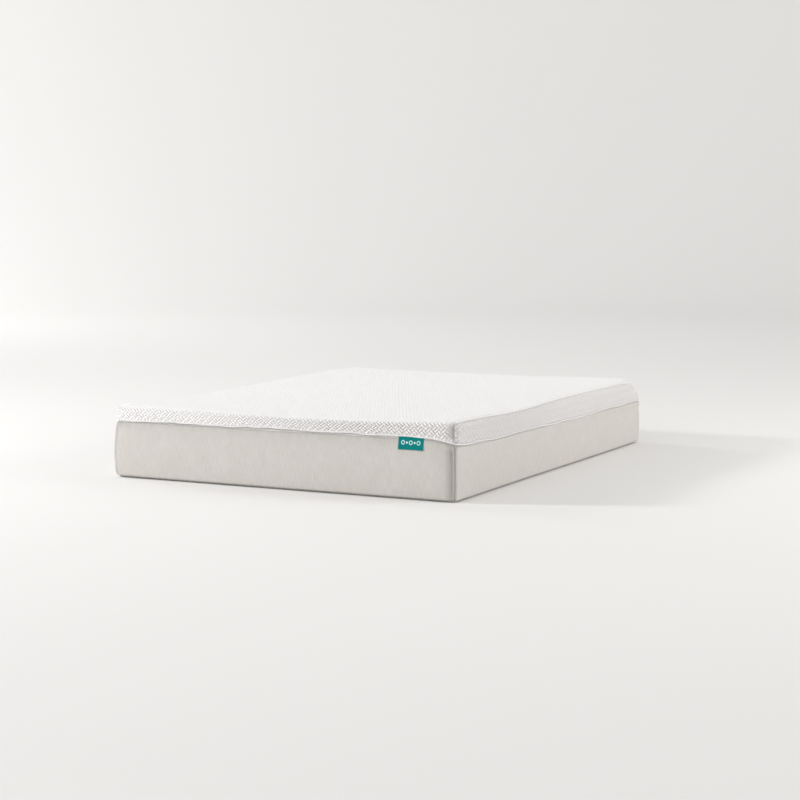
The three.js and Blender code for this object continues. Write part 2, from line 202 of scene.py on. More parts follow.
def softness(x, y, z, base):
    """Rounding radius of the cover: larger towards the top at the corners."""
    radius = np.full(np.shape(x), base, float)
    rise = smooth((z - ROUNDING_FROM) / ROUNDING_RISE)
    for (sx, sy), extra in CORNER_SOFTNESS.items():
        away = (x - sx * HALF_X) ** 2 + (y - sy * HALF_Y) ** 2
        radius = radius + extra * rise * np.exp(-away / CORNER_REACH ** 2)
    return radius


def lean(points):
    """Moves the right side out, more and more towards the head end."""
    moved = points.copy()
    share = np.clip(points[..., 0] / HALF_X, 0, 1.1) ** 2
    upper = smooth((points[..., 2] - OVERHANG_FROM) / OVERHANG_RISE)
    towards_head = smooth((points[..., 1] - LEAN_FROM) / LEAN_RUN)
    moved[..., 0] += (LEAN_RIGHT + OVERHANG_RIGHT * upper) * share * towards_head
    return moved


def bulge(points):
    """Swells the lower cover between the floor and the hem."""
    x, y, z = np.moveaxis(points, -1, 0)
    level = np.clip(z / (hem_height(x, y) - LOWER_EDGE_DROP), 0, 1)
    swell = (1 - (2 * level ** BULGE_SKEW - 1) ** 2) ** BULGE_FULLNESS
    moved = points.copy()
    moved[..., 0] += np.where(x > 0, BULGE_RIGHT, BULGE_LEFT) * swell * x / HALF_X
    moved[..., 1] += BULGE_END * swell * y / HALF_Y
    return moved


def soften(points, half_x, half_y, radius, low=None, high=None):
    """Takes points on a sharp box to the box with rounded edges. Returns places and normals."""
    x, y, z = np.moveaxis(points, -1, 0)
    core = points.copy()
    core[..., 0] = np.clip(x, -half_x + radius, half_x - radius)
    core[..., 1] = np.clip(y, -half_y + radius, half_y - radius)
    if high is not None:
        core[..., 2] = np.minimum(z, high - radius)
    if low is not None:
        core[..., 2] = np.maximum(core[..., 2], low + radius)
    normal = points - core
    normal /= np.linalg.norm(normal, axis=-1, keepdims=True)
    return core + normal * radius[..., None], normal


def from_seam(length, radius):
    """Sharp-box distance from an edge for a length of cloth measured from the seam on that edge."""
    quarter = radius * math.pi / 4
    angle = np.clip(math.pi / 4 - length / radius, 0, math.pi / 4)
    return np.where(length < quarter, radius * (1 - np.tan(angle)), radius + length - quarter)


def cloth_span(half, radius):
    """Half the cloth's width between seams on both edges of a side that is 2 * half long."""
    return half - radius + radius * math.pi / 4


def across(cloth, half, radius):
    """Sharp-box coordinate for cloth coordinates measured from the middle of a side."""
    span = cloth_span(half, radius)
    return np.sign(cloth) * (half - from_seam(span - np.abs(cloth), radius))


PERIOD = 2 * cloth_span(UPPER_X, UPPER_RADIUS) / BASKET_PERIODS
STEP = PERIOD / BASKET_STEPS

# ---- shape of the upholstered surface

def top_dip(x, y):
    """How far the top lies below its highest level: a hollow towards the foot and a dished head end."""
    along = DIP_MIDDLE * bell(y + 0.40, 0.34)
    left = DIP_LEFT * bell(y - 0.10, 0.50) * smooth((0.1 - x) / 0.7)
    foot = DIP_FOOT * smooth((-y - 0.70) / 0.30) * (1 - 1.15 * smooth((x - 0.35) / 0.40))
    dish = DIP_DISH * np.clip(1 - (x / 0.74) ** 2, 0, 1) * (0.35 + 0.65 * smooth((y + 0.2) / 1.0))
    lip = DIP_LIP * smooth((-y - 0.75) / 0.25) * bell(x - 0.10, 0.40)
    return DIP_BASE + along + left + foot + lip + dish


def basket(s, t, period):
    """Relief of a diagonal basket weave, 0 in the deepest grooves and 1 on the strips.

    Each cell is a pair of round strips passing over its neighbours, so it is highest in its middle
    and dives at both ends.
    """
    a = (s + t) / period
    b = (s - t) / period
    over = (np.floor(a) + np.floor(b)) % 2 == 0
    fa, fb = a - np.floor(a), b - np.floor(b)
    run = np.where(over, fa, fb)
    wide = np.where(over, fb, fa)
    strip = np.abs(np.sin(2 * math.pi * wide)) ** STRIP_ROUND
    arch = np.sin(math.pi * run) ** ARCH_ROUND
    return strip * (1 - ARCH_SHARE + ARCH_SHARE * arch)


def corner_pull(x, y, end_side, near_depth, far_depth, place, inner):
    """Depth of the hollow beside the upright corner seams, deepest on the foot face at the right."""
    distance = np.where(end_side, HALF_X - np.abs(x), HALF_Y - np.abs(y))
    near = end_side & (x > 0) & (y < 0)
    depth = np.where(near, near_depth, np.where(end_side, far_depth, HOLLOW_SIDE_DEPTH))
    width = np.where(distance > place, inner, HOLLOW_OUTER_SHARE * place)
    return depth * bell(distance - place, width)


def pull_folds(x, y, z):
    """Slanting folds in the right side band, pulled from the foot corner's top."""
    along = y + HALF_Y
    down = HEIGHT - z
    phase = (along - FOLD_SLANT * down) / FOLD_PITCH
    fade = np.exp(-along / FOLD_REACH) * smooth(down / 0.02) * (x > 0) * (y < 0)
    return FOLD_DEPTH * np.sin(2 * math.pi * phase) * fade


def seam_valley(distance, depth, width, roll, place, spread):
    """A sewn-in valley, with a soft roll of cloth beside it that stands the other way."""
    return depth * bell(distance, width) - roll * bell(distance - place, spread)


# ---- mesh helpers

def add_object(name, mesh, material):
    mesh.materials.append(material)
    piece = bpy.data.objects.new(name, mesh)
    bpy.context.scene.collection.objects.link(piece)
    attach(piece, "mattress")
    return piece


def add_stand_in(node, mesh, material):
    """A piece named like its mesh, shown in place of one of the frame's nodes."""
    piece = add_object(mesh.name, mesh, material)
    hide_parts(node)
    return piece


def flat(values, kind=np.float32):
    return np.ascontiguousarray(values, kind).ravel()


def mesh_from(name, verts, faces, uvs, attributes=None):
    """A mesh from arrays: verts (n, 3), faces (m, 4) or (m, 3), uvs by vertex, attributes by vertex."""
    mesh = bpy.data.meshes.new(name)
    corners = faces.shape[1]
    mesh.vertices.add(len(verts))
    mesh.vertices.foreach_set("co", flat(verts))
    mesh.loops.add(faces.size)
    mesh.loops.foreach_set("vertex_index", flat(faces, np.int32))
    mesh.polygons.add(len(faces))
    mesh.polygons.foreach_set("loop_start", np.arange(0, faces.size, corners, dtype=np.int32))
    mesh.polygons.foreach_set("use_smooth", np.full(len(faces), True))
    mesh.update(calc_edges=True)
    layer = mesh.uv_layers.new(name="cloth")
    layer.data.foreach_set("uv", flat(uvs[faces.ravel()]))
    for key, values in (attributes or {}).items():
        channel = mesh.attributes.new(key, "FLOAT", "POINT")
        channel.data.foreach_set("value", flat(values))
    mesh.validate()
    return mesh


def grid_faces(rows, columns):
    i = np.arange(rows - 1)[:, None]
    j = np.arange(columns - 1)[None, :]
    a, b = i * columns + j, (i + 1) * columns + j
    return np.stack([a, b, b + 1, a + 1], axis=-1).reshape(-1, 4)


def tube_faces(rows, columns, closed):
    """Quads between rings of points, and from the last ring back to the first one if closed."""
    i = np.arange(rows if closed else rows - 1)[:, None]
    j = np.arange(columns)[None, :]
    a, b = i * columns, (i + 1) % rows * columns
    k = (j + 1) % columns
    return np.stack([a + j, b + j, b + k, a + k], axis=-1).reshape(-1, 4)


def sheet_mesh(name, points, normals, uv, attributes, turn_in=0.004, flip=False):
    """A cloth panel from a grid, with its edges turned in so that no gap shows at a seam."""
    rim = ((1, 1), (1, 1), (0, 0))
    rim_points = np.pad(points, rim, mode="edge")
    rim_normals = np.pad(normals, rim, mode="edge")
    edge = np.ones(rim_points.shape[:2], bool)
    edge[1:-1, 1:-1] = False
    rim_points[edge] -= rim_normals[edge] * turn_in
    rim_uv = np.pad(uv, rim, mode="edge")
    padded = {k: np.pad(v, 1, mode="edge").ravel() for k, v in attributes.items()}
    faces = grid_faces(*rim_points.shape[:2])
    if flip:
        faces = faces[:, ::-1]
    return mesh_from(name, rim_points.reshape(-1, 3), faces, rim_uv.reshape(-1, 2), padded)


# ---- materials

def set_inputs(node, values):
    for key, value in values.items():
        node.inputs[key].default_value = value


def new_material(name, colour, roughness, sheen=0.0, specular=0.3):
    material = bpy.data.materials.new(name)
    material.use_nodes = True
    set_inputs(material.node_tree.nodes["Principled BSDF"], {
        "Base Color": (*colour, 1), "Roughness": roughness, "Sheen Weight": sheen,
        "Sheen Roughness": 0.5, "Specular IOR Level": specular,
    })
    return material


class Nodes:
    """Short calls for building a material's node tree."""

    def __init__(self, material):
        self.tree = material.node_tree
        self.shader = self.tree.nodes["Principled BSDF"]

    def add(self, kind, **settings):
        node = self.tree.nodes.new(kind)
        for key, value in settings.items():
            setattr(node, key, value)
        return node

    def link(self, source, target):
        self.tree.links.new(source, target)

    def put(self, value, socket):
        if isinstance(value, (int, float, tuple)):
            socket.default_value = value
        else:
            self.link(value, socket)

    def colour(self, source):
        self.link(source, self.shader.inputs["Base Color"])

    def roughness(self, source):
        self.link(source, self.shader.inputs["Roughness"])

    def normal(self, source):
        self.link(source, self.shader.inputs["Normal"])

    def math(self, operation, a, b=0.0):
        node = self.add("ShaderNodeMath", operation=operation)
        self.put(a, node.inputs[0])
        self.put(b, node.inputs[1])
        return node.outputs[0]

    def times(self, a, b):
        return self.math("MULTIPLY", a, b)

    def plus(self, a, b):
        return self.math("ADD", a, b)

    def minus(self, a, b):
        return self.math("SUBTRACT", a, b)

    def coords(self, scale):
        """The cloth coordinates in metres, stretched by scale."""
        uv = self.add("ShaderNodeUVMap", uv_map="cloth")
        mapping = self.add("ShaderNodeMapping")
        mapping.inputs["Scale"].default_value = scale
        self.link(uv.outputs[0], mapping.inputs["Vector"])
        return mapping.outputs[0]

    def across_and_along(self, scale):
        """The two cloth coordinates as separate numbers."""
        split = self.add("ShaderNodeSeparateXYZ")
        self.link(self.coords(scale), split.inputs[0])
        return split.outputs[0], split.outputs[1]

    def noise(self, scale, detail=3.0):
        node = self.add("ShaderNodeTexNoise")
        set_inputs(node, {"Scale": 1.0, "Detail": detail, "Roughness": 0.55})
        self.link(self.coords(scale), node.inputs["Vector"])
        return node.outputs["Fac"]

    def ramp(self, value, low, high, from_min=0.0, from_max=1.0):
        node = self.add("ShaderNodeMapRange", clamp=True)
        self.put(value, node.inputs["Value"])
        set_inputs(node, {"From Min": from_min, "From Max": from_max, "To Min": low, "To Max": high})
        return node.outputs[0]

    def mix(self, factor, first, second, blend="MIX"):
        node = self.add("ShaderNodeMix", data_type="RGBA", blend_type=blend)
        for value, index in ((factor, 0), (first, 6), (second, 7)):
            self.put((*value, 1) if isinstance(value, tuple) else value, node.inputs[index])
        return node.outputs[2]

    def attribute(self, name):
        return self.add("ShaderNodeAttribute", attribute_name=name).outputs["Fac"]

    def bump(self, height, distance, strength=1.0, under=None):
        node = self.add("ShaderNodeBump")
        set_inputs(node, {"Distance": distance, "Strength": strength})
        self.link(height, node.inputs["Height"])
        if under is not None:
            self.link(under, node.inputs["Normal"])
        return node.outputs[0]

    def with_painted_shading(self, colour):
        """Colour times the painted shading (painted shade and highlight) kept on the vertices."""
        grey = self.add("ShaderNodeCombineColor")
        painted_shading = self.attribute("painted_shading")
        for socket in grey.inputs:
            self.link(painted_shading, socket)
        return self.mix(1.0, colour, grey.outputs[0], "MULTIPLY")

    def basket(self, period):
        """The same diagonal basket weave as basket() above, from the cloth coordinates."""
        s, t = self.across_and_along((1 / period, 1 / period, 1))
        a, b = self.plus(s, t), self.minus(s, t)
        parity = self.plus(self.math("FLOOR", a), self.math("FLOOR", b))
        under = self.math("ABSOLUTE", self.math("MODULO", parity, 2.0))
        over = self.minus(1.0, under)
        fa, fb = self.math("FRACT", a), self.math("FRACT", b)
        run = self.plus(self.times(fa, over), self.times(fb, under))
        wide = self.plus(self.times(fb, over), self.times(fa, under))
        arch = self.math("POWER", self.math("SINE", self.times(run, math.pi)), ARCH_ROUND)
        turn = self.math("SINE", self.times(wide, 2 * math.pi))
        strip = self.math("POWER", self.math("ABSOLUTE", turn), STRIP_ROUND)
        lifted = self.plus(self.times(arch, ARCH_SHARE), 1 - ARCH_SHARE)
        return self.times(strip, lifted)

    def knit(self, wale, course):
        """Rows of small interlocked loops: wale and course are loops to the metre."""
        u, v = self.across_and_along((wale, course, 1))
        bend = self.math("ABSOLUTE", self.minus(self.math("FRACT", u), 0.5))
        row = self.math("FRACT", self.plus(v, bend))
        loop = self.math("ABSOLUTE", self.minus(row, 0.5))
        return self.plus(loop, self.times(bend, 0.7))


def make_top_knit():
    material = new_material("top_knit", (0.9, 0.89, 0.89), 0.9, sheen=0.15)
    n = Nodes(material)
    raised = n.basket(PERIOD)
    relief = n.plus(n.times(n.minus(raised, 1.0), n.attribute("calm")), 1.0)
    pile = n.noise((420, 420, 1), 4)
    patch = n.noise((3, 3, 1), 2)
    # painted shade: the weave's grooves are coloured darker than its strips
    shaded_grooves = n.mix(n.ramp(relief, 0, 1, 0.0, 0.5), (0.78, 0.76, 0.755), (0.945, 0.93, 0.93))
    flecked = n.mix(n.ramp(pile, 0, 0.3, 0.35, 0.75), shaded_grooves, (0.93, 0.92, 0.92))
    clouded = n.mix(n.ramp(patch, 0, 0.12), flecked, (0.83, 0.81, 0.80))
    n.colour(n.with_painted_shading(clouded))
    n.roughness(n.ramp(pile, 0.82, 0.97))
    weave = n.bump(relief, 0.0044, 1.0)
    loops = n.bump(n.knit(620, 480), 0.0006, 0.7, weave)
    n.normal(n.bump(pile, 0.0008, 0.5, loops))
    return material


def make_lower_knit():
    material = new_material("lower_knit", (0.69, 0.66, 0.63), 0.95, sheen=0.15)
    n = Nodes(material)
    upright = n.noise((900, 26, 1), 3)
    level = n.noise((30, 800, 1), 3)
    cloud = n.noise((14, 9, 1), 3)
    base = n.mix(n.ramp(upright, 0, 1, 0.32, 0.68), (0.50, 0.477, 0.448), (0.68, 0.655, 0.629))
    slubs = n.mix(n.ramp(level, 0, 0.62, 0.45, 0.8), base, (0.70, 0.68, 0.657))
    clouded = n.mix(n.ramp(cloud, 0, 0.45, 0.3, 0.7), slubs, (0.578, 0.549, 0.516))
    n.colour(n.with_painted_shading(clouded))
    n.roughness(n.ramp(upright, 0.88, 1.0))
    loops = n.bump(n.knit(900, 700), 0.0004, 0.6)
    ribs = n.bump(upright, 0.0005, 0.6, loops)
    n.normal(n.bump(level, 0.0004, 0.5, ribs))
    return material


def make_plain_weave(name, colour, threads, sheen=0.1, variation=0.05, specular=0.3):
    """Plain woven cloth with a thread count to the metre."""
    material = new_material(name, colour, 0.88, sheen, specular)
    n = Nodes(material)
    u, v = n.across_and_along((threads, threads, 1))
    warp = n.math("SINE", n.times(u, math.pi))
    weft = n.math("SINE", n.times(v, math.pi))
    crossing = n.times(warp, weft)
    fuzz = n.noise((threads / 3, threads / 3, 1), 3)
    dark = tuple(c * (1 - 3 * variation) for c in colour)
    light = tuple(min(1.0, c * (1 + variation)) for c in colour)
    n.colour(n.mix(n.ramp(fuzz, 0, 1, 0.3, 0.7), dark, light))
    n.roughness(n.ramp(fuzz, 0.8, 0.95))
    n.normal(n.bump(fuzz, 0.0003, 0.4, n.bump(crossing, 0.0003, 0.7)))
    return material


def make_base_cloth():
    """Non-slip cloth: a grey weave with raised grip dots."""
    material = make_plain_weave("base_fabric", (0.52, 0.51, 0.48), 700, variation=0.06)
    n = Nodes(material)
    u, v = n.across_and_along((90, 90, 1))
    u = n.minus(n.math("FRACT", u), 0.5)
    v = n.minus(n.math("FRACT", v), 0.5)
    away = n.math("SQRT", n.plus(n.times(u, u), n.times(v, v)))
    dot = n.ramp(away, 1, 0, 0.12, 0.2)
    old = n.shader.inputs["Base Color"].links[0].from_socket
    n.colour(n.mix(dot, old, (0.33, 0.33, 0.32)))
    under = n.shader.inputs["Normal"].links[0].from_socket
    n.normal(n.bump(dot, 0.0008, 0.8, under))
    return material


def make_foam(name, colour, cell):
    """Open-cell foam: cell is pores to the metre, in the object's own coordinates."""
    material = new_material(name, colour, 0.95)
    n = Nodes(material)
    place = n.add("ShaderNodeTexCoord").outputs["Object"]
    pores = n.add("ShaderNodeTexVoronoi")
    pores.inputs["Scale"].default_value = cell
    n.link(place, pores.inputs["Vector"])
    dark = tuple(c * 0.8 for c in colour)
    wall = pores.outputs["Distance"]
    n.colour(n.mix(n.ramp(wall, 0, 1, 0, 0.5), dark, colour))
    n.roughness(n.ramp(wall, 0.85, 1.0))
    n.normal(n.bump(wall, 0.0006))
    return material


def make_enamel():
    """Painted metal with fine scratches."""
    material = new_material("zip_metal", (0.84, 0.84, 0.83), 0.35)
    n = Nodes(material)
    place = n.add("ShaderNodeTexCoord").outputs["Object"]
    scratch = n.add("ShaderNodeTexNoise")
    scratch.inputs["Scale"].default_value = 900
    n.link(place, scratch.inputs["Vector"])
    fac = scratch.outputs["Fac"]
    n.colour(n.mix(n.ramp(fac, 0, 1, 0.55, 0.75), (0.86, 0.86, 0.85), (0.72, 0.72, 0.71)))
    n.roughness(n.ramp(fac, 0.28, 0.5))
    n.normal(n.bump(fac, 0.00006))
    return material


TOP_KNIT = make_top_knit()
LOWER_KNIT = make_lower_knit()
HEM_CLOTH = make_plain_weave("hem_fabric", (0.87, 0.855, 0.845), 900, variation=0.04)
TAPE_CLOTH = make_plain_weave("zip_tape", (0.86, 0.855, 0.84), 1300)
THREAD = make_plain_weave("thread", (0.9, 0.895, 0.88), 2500)
NYLON = make_plain_weave("zip_nylon", (0.88, 0.88, 0.86), 1500)
TEAL_THREAD = make_plain_weave("teal_thread", (0.02, 0.36, 0.35), 2500, sheen=0.0)
BASE_CLOTH = make_base_cloth()
TEAL_WEAVE = make_plain_weave("brand_weave", (0.002, 0.235, 0.232), 1500, 0.0, 0.06, specular=0.12)
LABEL_CLOTH = make_plain_weave("label_cloth", (0.9, 0.9, 0.89), 1100, variation=0.03)
ENAMEL = make_enamel()


def add_marks(material, colour):
    """Embroidered marks in another thread, where the mesh says so."""
    n = Nodes(material)
    ground = n.shader.inputs["Base Color"].links[0].from_socket
    n.colour(n.mix(n.attribute("mark"), ground, colour))


add_marks(TEAL_WEAVE, (0.62, 0.86, 0.84))
add_marks(LABEL_CLOTH, (0.42, 0.43, 0.45))

# ---- top cover

def dress_upper(points, normals, cloth_s, cloth_t, seam_distance):
    """Adds dips, puffing, seams and the basket relief to the top cover's smooth shape, and works out its
    painted shade and highlight.
    """
    x, y, z = np.moveaxis(points, -1, 0)
    hem = hem_height(x, y)
    level = np.clip((z - hem) / (HEIGHT - hem), 0, 1)
    hem_distance = np.maximum(z - hem - hem_wobble(x, y) - LIP_HEIGHT, 0)
    points = points.copy()
    points[..., 2] -= top_dip(x, y) * level ** 1.5
    wall = 1 - np.abs(normals[..., 2])
    foot_side = np.abs(normals[..., 1]) > np.abs(normals[..., 0])
    on_top = smooth((0.6 - wall) / 0.5)
    belly = 0.0026 * np.sin(math.pi * level) * wall
    lump = 0.0016 * wave(x, y + z, 11, 0.42) + 0.0007 * wave(x, y + z, 12, 0.11, 2)
    fading = 1 - 0.6 * smooth((y + 0.5) / 1.3) * (x > 0)
    seam = seam_valley(seam_distance, depth=0.0046 * fading, width=0.0040,
                       roll=0.0016, place=0.010, spread=0.005)
    hem_seam = 0.0024 * bell(hem_distance, 0.0030) * wall
    pull = wall * corner_pull(x, y, foot_side, near_depth=0.0140, far_depth=0.003,
                              place=HOLLOW_PLACE_UPPER, inner=0.0225)
    pull = pull * (0.25 + 0.75 * smooth(hem_distance / 0.022))
    folds = pull_folds(x, y, z) * wall * ~foot_side
    relief = basket(cloth_s, cloth_t, PERIOD)
    calm = np.clip(seam_distance / 0.006, 0, 1)
    calm = calm * np.where(wall > 0.5, np.clip(hem_distance / 0.004, 0, 1), 1)
    calm = calm * (1 - TOP_CALM * on_top)
    foot_wall = wall * foot_side * (y < 0)
    calm = calm * (1 + foot_wall * (0.45 * smooth((x + 0.5) / 1.2) - 0.04))
    calm = calm * (1 + 0.25 * wall * ~foot_side * (x > 0))
    calm = calm * (1 - 0.75 * np.clip(pull / 0.013, 0, 1))
    out = belly + lump * np.clip(seam_distance / 0.05, 0.15, 1) - seam - hem_seam - pull + folds
    out = out + BASKET_RELIEF * (relief - BASKET_LEVEL) * calm
    near = wall * (z < HEIGHT - 0.02) * (x > 0.7) * (y < -0.95)
    # painted highlight on the near corner's seam ridge, and painted shade on the side band beside it
    corner_seam_light_and_shade = SEAM_LIGHT_AND_SHADE * bell(seam_distance, 0.0040) * near
    corner_seam_light_and_shade = corner_seam_light_and_shade - SEAM_LIGHT_AND_SHADE * np.exp(-(y + HALF_Y) / 0.014) * near * ~foot_side
    # painted shade along the seams, with the near corner seam's painted highlight and shade
    painted_shading = 1 - 0.17 * fading * bell(seam_distance, 0.0030) + corner_seam_light_and_shade
    # painted shade above the hem and in the corner hollows
    painted_shading = painted_shading - 0.05 * bell(hem_distance, 0.003) * (wall > 0.5) - HOLLOW_SHADE_UPPER * pull
    # painted shade on the top and painted light on the foot wall
    painted_shading = painted_shading * (1 - TOP_SHADE * on_top + 0.04 * foot_wall)
    return lean(points + normals * out[..., None]), {"calm": calm, "painted_shading": painted_shading}


def upper_low_edge(x, y):
    """Height of the top cover's lower edge, tucked behind the lip."""
    return hem_height(x, y) + hem_wobble(x, y) + LIP_HEIGHT - LIP_OVERLAP


def build_top_panel():
    span = cloth_span(UPPER_X, UPPER_RADIUS)
    s = np.linspace(-span, span, BASKET_PERIODS * BASKET_STEPS + 1)
    half_t = cloth_span(UPPER_Y, UPPER_RADIUS)
    bend = UPPER_RADIUS * math.pi / 4
    even_drop = 0.034  # the weave's even rows go this far down each end, and the tail fits the hem
    count = int(round((half_t + bend + even_drop) / STEP))
    t_fixed = np.arange(-count, count + 1) * STEP
    tail = np.linspace(0, 1, 8)[1:]
    grid_s, grid_t = np.meshgrid(s, t_fixed, indexing="xy")
    x = across(grid_s, UPPER_X, UPPER_RADIUS)
    on_top = np.abs(grid_t) <= half_t
    end = np.sign(grid_t)
    y_top = across(np.clip(grid_t, -half_t, half_t), UPPER_Y, UPPER_RADIUS)
    below = from_seam(np.abs(grid_t) - half_t, UPPER_RADIUS)
    y = np.where(on_top, y_top, end * UPPER_Y)
    z = np.where(on_top, HEIGHT, HEIGHT - below)
    for side, row in ((-1, 0), (1, -1)):
        z_tail = z[row] + (upper_low_edge(x[row], y[row]) - z[row]) * tail[:, None]
        t_tail = grid_t[row] + side * (z[row] - z_tail)
        if side < 0:
            z_tail, t_tail = z_tail[::-1], t_tail[::-1]
        x_tail = np.repeat(x[row][None], len(tail), 0)
        y_tail = np.full(x_tail.shape, side * UPPER_Y)
        s_tail = np.repeat(s[None], len(tail), 0)
        parts = [(x, x_tail), (y, y_tail), (z, z_tail), (grid_s, s_tail), (grid_t, t_tail)]
        order = [(b, a) if side < 0 else (a, b) for a, b in parts]
        x, y, z, grid_s, grid_t = [np.concatenate(pair) for pair in order]
    radius = softness(x, y, z, UPPER_RADIUS)
    points, normals = soften(np.stack([x, y, z], axis=-1), UPPER_X, UPPER_Y, radius, high=HEIGHT)
    seam_distance = span - np.abs(grid_s)
    points, looks = dress_upper(points, normals, grid_s, grid_t, seam_distance)
    uv = np.stack([grid_s, grid_t], axis=-1)
    mesh = sheet_mesh("top_cover_panel", points, normals, uv, looks, flip=True)
    piece = add_stand_in("top_panel", mesh, TOP_KNIT)


def build_side_band(side):
    name = "left" if side < 0 else "right"
    span = cloth_span(UPPER_Y, UPPER_RADIUS)
    periods = int(round(2 * span / PERIOD))
    s = np.linspace(-span, span, periods * BASKET_STEPS + 1)
    bend = UPPER_RADIUS * math.pi / 4
    rows = np.linspace(0, 1, 30)
    y_line = across(s, UPPER_Y, UPPER_RADIUS)
    x_line = np.full(s.shape, side * UPPER_X)
    length = (HEIGHT - UPPER_RADIUS - upper_low_edge(x_line, y_line)) + bend
    t = rows[:, None] * length[None, :]
    grid_s = np.repeat(s[None], len(rows), 0)
    y = np.repeat(y_line[None], len(rows), 0)
    z = HEIGHT - from_seam(t, UPPER_RADIUS)
    x = np.full(z.shape, side * UPPER_X)
    radius = softness(x, y, z, UPPER_RADIUS)
    points, normals = soften(np.stack([x, y, z], axis=-1), UPPER_X, UPPER_Y, radius, high=HEIGHT)
    seam_distance = np.minimum(t, span - np.abs(grid_s))
    points, looks = dress_upper(points, normals, grid_s, t, seam_distance)
    # painted shade: the side bands coloured darker, less towards the head end
    looks["painted_shading"] = looks["painted_shading"] * (SIDE_SHADE + SIDE_SHADE_GAIN * smooth((y + UPPER_Y) / 1.4))
    uv = np.stack([grid_s, t], axis=-1)
    mesh = sheet_mesh(f"top_cover_band_{name}", points, normals, uv, looks, flip=side > 0)
    piece = add_stand_in(f"side_band_{name}", mesh, TOP_KNIT)


# ---- outline sweeps

def outline(step, start_x=None, end_x=None):
    """Points, outward normals and running length at hem height, clockwise from the head end.

    With start_x and end_x the path is open, and its ends are at those places on the head end.
    """
    quarter_x = cloth_span(UPPER_X, UPPER_RADIUS)
    quarter_y = cloth_span(UPPER_Y, UPPER_RADIUS)
    nx = int(round(2 * quarter_x / step))
    ny = int(round(2 * quarter_y / step))
    sx = np.linspace(-quarter_x, quarter_x, nx + 1)[:-1]
    sy = np.linspace(-quarter_y, quarter_y, ny + 1)[:-1]
    xs = across(sx, UPPER_X, UPPER_RADIUS)
    ys = across(sy, UPPER_Y, UPPER_RADIUS)
    sides = [
        (xs, np.full(nx, UPPER_Y)),
        (np.full(ny, UPPER_X), -ys),
        (-xs, np.full(nx, -UPPER_Y)),
        (np.full(ny, -UPPER_X), ys),
    ]
    x = np.concatenate([p[0] for p in sides])
    y = np.concatenate([p[1] for p in sides])
    if start_x is not None:
        first = int(np.argmax((x > start_x) & (y > UPPER_Y - 1e-6)))
        x, y = np.roll(x, -first), np.roll(y, -first)
        keep = ~((y > UPPER_Y - 1e-6) & (x > end_x) & (x < start_x + 1e-9) & (np.arange(len(x)) > 9))
        x = np.concatenate([[start_x], x[keep], [end_x]])
        y = np.concatenate([[UPPER_Y], y[keep], [UPPER_Y]])
    sharp = np.stack([x, y, np.zeros(len(x))], axis=-1)
    points, normals = soften(sharp, UPPER_X, UPPER_Y, np.full(len(x), UPPER_RADIUS))
    points[:, 2] = hem_height(x, y) + hem_wobble(x, y)
    points = lean(points)
    step_length = np.linalg.norm(np.diff(points, axis=0), axis=1)
    along = np.concatenate([[0], np.cumsum(step_length)])
    return points, normals, along


def sweep_mesh(name, path, section, closed):
    """Sweeps a section of (out, up) pairs along the outline."""
    points, normals, along = path
    section = np.asarray(section, float)
    ring = points[:, None, :] + normals[:, None, :] * section[None, :, :1]
    ring[..., 2] += section[None, :, 1]
    around = np.concatenate([[0], np.cumsum(np.linalg.norm(np.diff(section, axis=0), axis=1))])
    uv = np.stack(np.broadcast_arrays(along[:, None], around[None, :]), axis=-1)
    faces = tube_faces(len(points), len(section), closed)
    return mesh_from(name, ring.reshape(-1, 3), faces, uv.reshape(-1, 2))


def build_hem_lip():
    """The folded strip: a flat front face, a rounded fold at the bottom and a soft ripple."""
    points, normals, along = outline(0.006)
    ripple = wave(along, 0 * along, 21, 0.16, 2)
    points = points + normals * (0.0009 * ripple)[:, None]
    front, back, fold = 0.0016, -0.0034, 0.0016
    turns = np.linspace(0, math.pi, 9)
    middle = (front + back) / 2
    half = (front - back) / 2
    section = [(middle + half * math.cos(a), fold - fold * math.sin(a)) for a in turns]
    section += [(back, LIP_HEIGHT - 0.001), (back + 0.001, LIP_HEIGHT)]
    section += [(front - 0.0020, LIP_HEIGHT - 0.0001), (front - 0.0008, LIP_HEIGHT - 0.0007)]
    section += [(front - 0.0001, LIP_HEIGHT - 0.0015), (front - 0.0004, LIP_HEIGHT - 0.0023)]
    section += [(front - 0.0001, LIP_HEIGHT - 0.0031)]
    mesh = sweep_mesh("hem_lip_strip", (points, normals, along), section, True)
    add_stand_in("hem_lip", mesh, HEM_CLOTH)


def build_chain():
    """The zip's tapes and coils, once around from its start stop to its end stop."""
    start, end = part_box("zip_start_stop"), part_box("zip_end_stop")
    face, back = -0.004, -0.0046
    for name, low, high in (("upper", -0.0026, 0.007), ("lower", -0.016, -0.0042)):
        section = [(face, low), (face, high), (back, high), (back, low)]
        path = outline(0.012, start[0].x - 0.003, end[1].x + 0.003)
        mesh = sweep_mesh(f"zip_tape_{name}_cloth", path, section, False)
        add_stand_in(f"zip_tape_{name}", mesh, TAPE_CLOTH)
    out, radius = -0.00295, 0.00075
    for name, drop in (("upper", 0.002), ("lower", 0.0048)):
        turns = [k * math.pi / 4 for k in range(8)]
        section = [(out + radius * math.cos(a), -drop + radius * math.sin(a)) for a in turns]
        path = outline(0.010, start[1].x + 0.0003, end[0].x - 0.0003)
        mesh = sweep_mesh(f"zip_coil_{name}_teeth", path, section, False)
        add_stand_in(f"zip_coil_{name}", mesh, NYLON)


# ---- stitches

